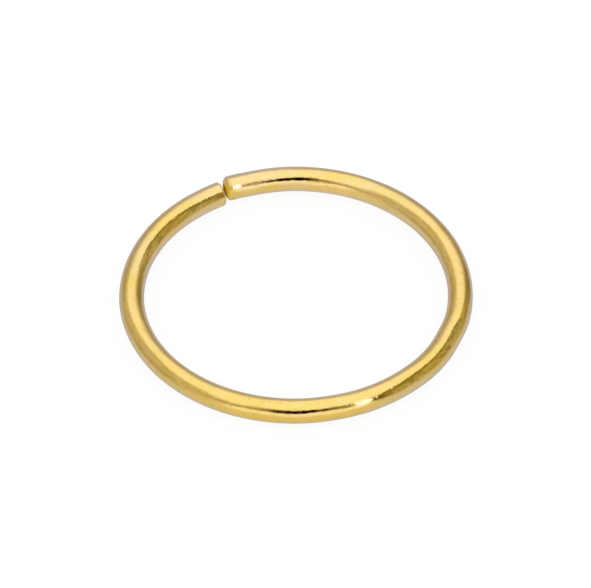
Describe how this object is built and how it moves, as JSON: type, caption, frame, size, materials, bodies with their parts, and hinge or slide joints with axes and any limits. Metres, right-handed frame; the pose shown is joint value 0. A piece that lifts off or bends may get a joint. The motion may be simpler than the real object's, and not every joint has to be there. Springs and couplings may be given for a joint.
{
  "type": "nose ring",
  "caption": "Open hoop of round gold-coloured wire, bent into a ring, whose tumbled cut ends face each other across a narrow gap.",
  "frame": {"origin": "bottom centre of the bounding box: the point under the centre of the hoop, on the surface that it lies on", "axes": "+Z square to the plane of the hoop, which lies flat; +Y from the centre of the hoop towards the gap between its ends; +X towards the end that stands slightly proud"},
  "size_m": [0.0114, 0.0115, 0.0008],
  "materials": {
    "gold_wire": "polished gold-filled wire, faintly drawn and worn"
  },
  "bodies": {
    "root": {"hoop": "gold_wire"}
  },
  "joints": []
}
